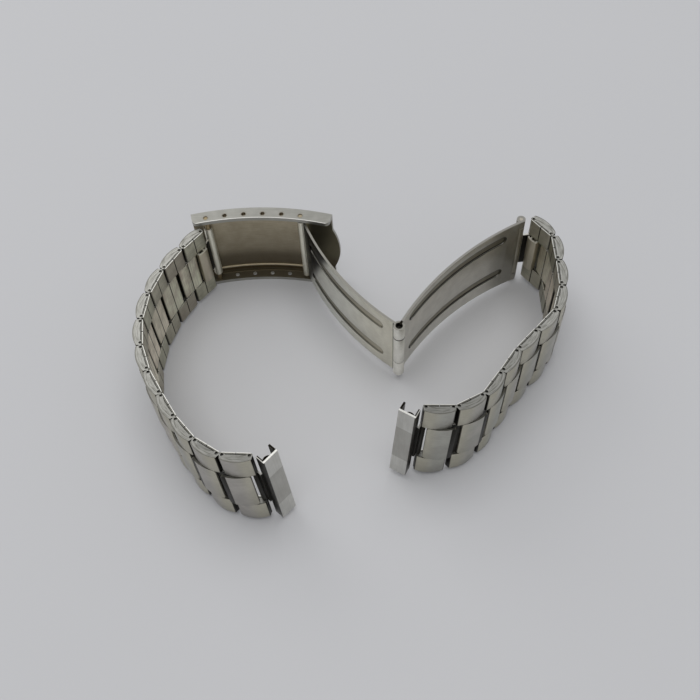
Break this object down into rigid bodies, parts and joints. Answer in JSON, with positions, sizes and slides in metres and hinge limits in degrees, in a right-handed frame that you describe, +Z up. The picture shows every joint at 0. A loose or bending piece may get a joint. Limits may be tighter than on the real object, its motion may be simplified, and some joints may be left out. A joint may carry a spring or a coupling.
{
  "type": "folded-link steel watch bracelet",
  "caption": "Steel watch bracelet of folded links on one edge, with its folding clasp open and a short end link at each strand end.",
  "frame": {"origin": "outer face of the clasp cover's lower side, on the line of its adjustment holes, midway between the third and the fourth; the bracelet stands on this face", "axes": "+X along the clasp cover from the adjustment holes at the left strand to the thumb lip, +Y away from the wrist, +Z up along the hinge pins"},
  "size_m": [0.0763, 0.0536, 0.0214],
  "materials": {
    "outer_steel": "worn satin with polished edges",
    "inner_steel": "dull folded sheet",
    "blade_steel": "satin with fine scratches",
    "pin_steel": "ground pin",
    "spring_bar_steel": "smooth, slightly bronze"
  },
  "bodies": {
    "clasp_cover": {"cover": "outer_steel", "cover_hinge_pin": "pin_steel", "cover_spring_bar": "spring_bar_steel"},
    "inner_blade": {"cover_blade": "blade_steel", "middle_hinge_pin": "pin_steel"},
    "outer_blade": {"strand_blade": "blade_steel", "strand_spring_bar": "spring_bar_steel"},
    "connector_left": {"connector_left": "inner_steel"},
    "row_L01": {"row_L01": "outer_steel", "inner_shell_left": "inner_steel"},
    "inner_link_L01": {"inner_link_L01": "inner_steel"},
    "row_L02": {"row_L02": "outer_steel"},
    "inner_link_L02": {"inner_link_L02": "inner_steel"},
    "row_L03": {"row_L03": "outer_steel"},
    "inner_link_L03": {"inner_link_L03": "inner_steel"},
    "row_L04": {"row_L04": "outer_steel"},
    "inner_link_L04": {"inner_link_L04": "inner_steel"},
    "row_L05": {"row_L05": "outer_steel"},
    "inner_link_L05": {"inner_link_L05": "inner_steel"},
    "row_L06": {"row_L06": "outer_steel"},
    "inner_link_L06": {"inner_link_L06": "inner_steel"},
    "row_L07": {"row_L07": "outer_steel"},
    "inner_link_L07": {"inner_link_L07": "inner_steel"},
    "row_L08": {"row_L08": "outer_steel"},
    "inner_link_L08": {"inner_link_L08": "inner_steel"},
    "row_L09": {"row_L09": "outer_steel"},
    "inner_link_L09": {"inner_link_L09": "inner_steel"},
    "row_L10": {"row_L10": "outer_steel"},
    "inner_link_L10": {"inner_link_L10": "inner_steel"},
    "row_L11": {"row_L11": "outer_steel"},
    "end_link_left": {"end_link_left": "outer_steel"},
    "connector_right": {"connector_right": "inner_steel"},
    "row_R01": {"row_R01": "outer_steel", "inner_shell_right": "inner_steel"},
    "inner_link_R01": {"inner_link_R01": "inner_steel"},
    "row_R02": {"row_R02": "outer_steel"},
    "inner_link_R02": {"inner_link_R02": "inner_steel"},
    "row_R03": {"row_R03": "outer_steel"},
    "inner_link_R03": {"inner_link_R03": "inner_steel"},
    "row_R04": {"row_R04": "outer_steel"},
    "inner_link_R04": {"inner_link_R04": "inner_steel"},
    "row_R05": {"row_R05": "outer_steel"},
    "inner_link_R05": {"inner_link_R05": "inner_steel"},
    "row_R06": {"row_R06": "outer_steel"},
    "inner_link_R06": {"inner_link_R06": "inner_steel"},
    "row_R07": {"row_R07": "outer_steel"},
    "inner_link_R07": {"inner_link_R07": "inner_steel"},
    "row_R08": {"row_R08": "outer_steel"},
    "inner_link_R08": {"inner_link_R08": "inner_steel"},
    "row_R09": {"row_R09": "outer_steel"},
    "inner_link_R09": {"inner_link_R09": "inner_steel"},
    "row_R10": {"row_R10": "outer_steel"},
    "end_link_right": {"end_link_right": "outer_steel"}
  },
  "joints": [
    {"name": "clasp_cover_hinge", "type": "hinge", "parent": "clasp_cover", "child": "inner_blade", "pos_m": [0.00871, -0.00076, 0.00965], "axis": [0, 0, 1], "range_deg": [-20, 45]},
    {"name": "clasp_middle_hinge", "type": "hinge", "parent": "inner_blade", "child": "outer_blade", "pos_m": [0.02616, -0.02392, 0.00965], "axis": [0, 0, -1], "range_deg": [-46, 85]},
    {"name": "connector_left_bar", "type": "hinge", "parent": "clasp_cover", "child": "connector_left", "pos_m": [-0.00871, -0.00076, 0.00965], "axis": [0, 0, 1], "range_deg": [-30, 20]},
    {"name": "row_L01_near_pin", "type": "hinge", "parent": "connector_left", "child": "row_L01", "pos_m": [-0.00972, -0.00294, 0.00965], "axis": [0, 0, -1], "range_deg": [-18, 5]},
    {"name": "row_L01_far_pin", "type": "hinge", "parent": "row_L01", "child": "inner_link_L01", "pos_m": [-0.01255, -0.00631, 0.00965], "axis": [0, 0, 1], "range_deg": [-9.8, 14.8]},
    {"name": "row_L02_near_pin", "type": "hinge", "parent": "inner_link_L01", "child": "row_L02", "pos_m": [-0.01323, -0.00724, 0.00965], "axis": [0, 0, -1], "range_deg": [-14.8, 9.8]},
    {"name": "row_L02_far_pin", "type": "hinge", "parent": "row_L02", "child": "inner_link_L02", "pos_m": [-0.01559, -0.01095, 0.00965], "axis": [0, 0, 1], "range_deg": [-12, 12.5]},
    {"name": "row_L03_near_pin", "type": "hinge", "parent": "inner_link_L02", "child": "row_L03", "pos_m": [-0.01611, -0.01198, 0.00965], "axis": [0, 0, -1], "range_deg": [-12.5, 12]},
    {"name": "row_L03_far_pin", "type": "hinge", "parent": "row_L03", "child": "inner_link_L03", "pos_m": [-0.01765, -0.0161, 0.00965], "axis": [0, 0, 1], "range_deg": [-12.5, 12]},
    {"name": "row_L04_near_pin", "type": "hinge", "parent": "inner_link_L03", "child": "row_L04", "pos_m": [-0.01792, -0.01721, 0.00965], "axis": [0, 0, -1], "range_deg": [-12, 12.5]},
    {"name": "row_L04_far_pin", "type": "hinge", "parent": "row_L04", "child": "inner_link_L04", "pos_m": [-0.0185, -0.02158, 0.00965], "axis": [0, 0, 1], "range_deg": [-12.8, 11.8]},
    {"name": "row_L05_near_pin", "type": "hinge", "parent": "inner_link_L04", "child": "row_L05", "pos_m": [-0.01851, -0.02273, 0.00965], "axis": [0, 0, -1], "range_deg": [-11.8, 12.8]},
    {"name": "row_L05_far_pin", "type": "hinge", "parent": "row_L05", "child": "inner_link_L05", "pos_m": [-0.01805, -0.0271, 0.00965], "axis": [-0.0012, 0.0033, 1], "range_deg": [-12.8, 11.8]},
    {"name": "row_L06_near_pin", "type": "hinge", "parent": "inner_link_L05", "child": "row_L06", "pos_m": [-0.0178, -0.02822, 0.00966], "axis": [0.0035, -0.0099, -0.9999], "range_deg": [-11.8, 12.8]},
    {"name": "row_L06_far_pin", "type": "hinge", "parent": "row_L06", "child": "inner_link_L06", "pos_m": [-0.01633, -0.03237, 0.00972], "axis": [-0.0064, 0.0162, 0.9998], "range_deg": [-11, 13.5]},
    {"name": "row_L07_near_pin", "type": "hinge", "parent": "inner_link_L06", "child": "row_L07", "pos_m": [-0.01585, -0.03342, 0.00974], "axis": [0.0098, -0.0223, -0.9997], "range_deg": [-13.5, 11]},
    {"name": "row_L07_far_pin", "type": "hinge", "parent": "row_L07", "child": "inner_link_L07", "pos_m": [-0.01369, -0.03725, 0.00987], "axis": [-0.0134, 0.0283, 0.9995], "range_deg": [-7, 17.5]},
    {"name": "row_L08_near_pin", "type": "hinge", "parent": "inner_link_L07", "child": "row_L08", "pos_m": [-0.01311, -0.03824, 0.00991], "axis": [0.017, -0.0342, -0.9993], "range_deg": [-17.5, 7]},
    {"name": "row_L08_far_pin", "type": "hinge", "parent": "row_L08", "child": "inner_link_L08", "pos_m": [-0.01081, -0.04198, 0.01009], "axis": [-0.021, 0.0399, 0.999], "range_deg": [-10, 14.5]},
    {"name": "row_L09_near_pin", "type": "hinge", "parent": "inner_link_L08", "child": "row_L09", "pos_m": [-0.01014, -0.04292, 0.01014], "axis": [0.0255, -0.0453, -0.9986], "range_deg": [-14.5, 10]},
    {"name": "row_L09_far_pin", "type": "hinge", "parent": "row_L09", "child": "inner_link_L09", "pos_m": [-0.00735, -0.04631, 0.01038], "axis": [-0.0306, 0.0499, 0.9983], "range_deg": [-14, 10.5]},
    {"name": "row_L10_near_pin", "type": "hinge", "parent": "inner_link_L09", "child": "row_L10", "pos_m": [-0.0065, -0.04708, 0.01045], "axis": [0.0363, -0.0539, -0.9979], "range_deg": [-10.5, 14]},
    {"name": "row_L10_far_pin", "type": "hinge", "parent": "row_L10", "child": "inner_link_L10", "pos_m": [-0.00288, -0.04957, 0.01073], "axis": [-0.0427, 0.0562, 0.9975], "range_deg": [-20.8, 3.8]},
    {"name": "row_L11_near_pin", "type": "hinge", "parent": "inner_link_L10", "child": "row_L11", "pos_m": [-0.0018, -0.04995, 0.01081], "axis": [0.0496, -0.0568, -0.9972], "range_deg": [-3.8, 20.8]},
    {"name": "end_link_left_pin", "type": "hinge", "parent": "row_L11", "child": "end_link_left", "pos_m": [0.00258, -0.05033, 0.01106], "axis": [-0.0578, 0.052, 0.997], "range_deg": [-55, 30]},
    {"name": "connector_right_bar", "type": "hinge", "parent": "outer_blade", "child": "connector_right", "pos_m": [0.04901, -0.00224, 0.00965], "axis": [0, 0, -1], "range_deg": [-60, 25]},
    {"name": "row_R01_near_pin", "type": "hinge", "parent": "connector_right", "child": "row_R01", "pos_m": [0.05139, -0.00199, 0.00965], "axis": [0, 0, 1], "range_deg": [-25, 60]},
    {"name": "row_R01_far_pin", "type": "hinge", "parent": "row_R01", "child": "inner_link_R01", "pos_m": [0.05413, -0.00543, 0.00965], "axis": [0, 0, -1], "range_deg": [-24.2, 0.2]},
    {"name": "row_R02_near_pin", "type": "hinge", "parent": "inner_link_R01", "child": "row_R02", "pos_m": [0.05453, -0.00651, 0.00965], "axis": [0, 0, 1], "range_deg": [-0.2, 24.2]},
    {"name": "row_R02_far_pin", "type": "hinge", "parent": "row_R02", "child": "inner_link_R02", "pos_m": [0.05468, -0.01091, 0.00965], "axis": [0, 0, -1], "range_deg": [-7, 17.5]},
    {"name": "row_R03_near_pin", "type": "hinge", "parent": "inner_link_R02", "child": "row_R03", "pos_m": [0.0547, -0.01206, 0.00965], "axis": [0, 0, 1], "range_deg": [-17.5, 7]},
    {"name": "row_R03_far_pin", "type": "hinge", "parent": "row_R03", "child": "inner_link_R03", "pos_m": [0.0547, -0.01646, 0.00965], "axis": [0, 0, -1], "range_deg": [-14.8, 9.8]},
    {"name": "row_R04_near_pin", "type": "hinge", "parent": "inner_link_R03", "child": "row_R04", "pos_m": [0.05453, -0.0176, 0.00965], "axis": [0, 0, 1], "range_deg": [-9.8, 14.8]},
    {"name": "row_R04_far_pin", "type": "hinge", "parent": "row_R04", "child": "inner_link_R04", "pos_m": [0.05321, -0.02179, 0.00965], "axis": [-0.0024, -0.0026, -1], "range_deg": [-18.5, 6]},
    {"name": "row_R05_near_pin", "type": "hinge", "parent": "inner_link_R04", "child": "row_R05", "pos_m": [0.05263, -0.02279, 0.00966], "axis": [0.0071, 0.0077, 0.9999], "range_deg": [-6, 18.5]},
    {"name": "row_R05_far_pin", "type": "hinge", "parent": "row_R05", "child": "inner_link_R05", "pos_m": [0.04966, -0.02603, 0.00972], "axis": [-0.0118, -0.0129, -0.9998], "range_deg": [-6, 18.5]},
    {"name": "row_R06_near_pin", "type": "hinge", "parent": "inner_link_R05", "child": "row_R06", "pos_m": [0.04888, -0.02688, 0.00974], "axis": [0.0165, 0.018, 0.9997], "range_deg": [-18.5, 6]},
    {"name": "row_R06_far_pin", "type": "hinge", "parent": "row_R06", "child": "inner_link_R06", "pos_m": [0.04591, -0.03012, 0.00987], "axis": [-0.0208, -0.0235, -0.9995], "range_deg": [-2, 22.5]},
    {"name": "row_R07_near_pin", "type": "hinge", "parent": "inner_link_R06", "child": "row_R07", "pos_m": [0.0452, -0.03102, 0.00991], "axis": [0.0248, 0.0292, 0.9993], "range_deg": [-22.5, 2]},
    {"name": "row_R07_far_pin", "type": "hinge", "parent": "row_R07", "child": "inner_link_R07", "pos_m": [0.04271, -0.03465, 0.01009], "axis": [-0.0288, -0.0349, -0.999], "range_deg": [-6.8, 17.8]},
    {"name": "row_R08_near_pin", "type": "hinge", "parent": "inner_link_R07", "child": "row_R08", "pos_m": [0.04204, -0.03558, 0.01015], "axis": [0.0329, 0.0405, 0.9986], "range_deg": [-17.8, 6.8]},
    {"name": "row_R08_far_pin", "type": "hinge", "parent": "row_R08", "child": "inner_link_R08", "pos_m": [0.03946, -0.03914, 0.01039], "axis": [-0.038, -0.045, -0.9983], "range_deg": [-18.8, 5.8]},
    {"name": "row_R09_near_pin", "type": "hinge", "parent": "inner_link_R08", "child": "row_R09", "pos_m": [0.0386, -0.03989, 0.01046], "axis": [0.0442, 0.0484, 0.9979], "range_deg": [-5.8, 18.8]},
    {"name": "row_R09_far_pin", "type": "hinge", "parent": "row_R09", "child": "inner_link_R09", "pos_m": [0.03474, -0.04199, 0.01075], "axis": [-0.0507, -0.05, -0.9975], "range_deg": [-20, 4.5]},
    {"name": "row_R10_near_pin", "type": "hinge", "parent": "inner_link_R09", "child": "row_R10", "pos_m": [0.03363, -0.04227, 0.01082], "axis": [0.0577, 0.0501, 0.9971], "range_deg": [-4.5, 20]},
    {"name": "end_link_right_pin", "type": "hinge", "parent": "row_R10", "child": "end_link_right", "pos_m": [0.02924, -0.0423, 0.01109], "axis": [-0.0672, -0.0467, -0.9966], "range_deg": [-40, 30]}
  ]
}
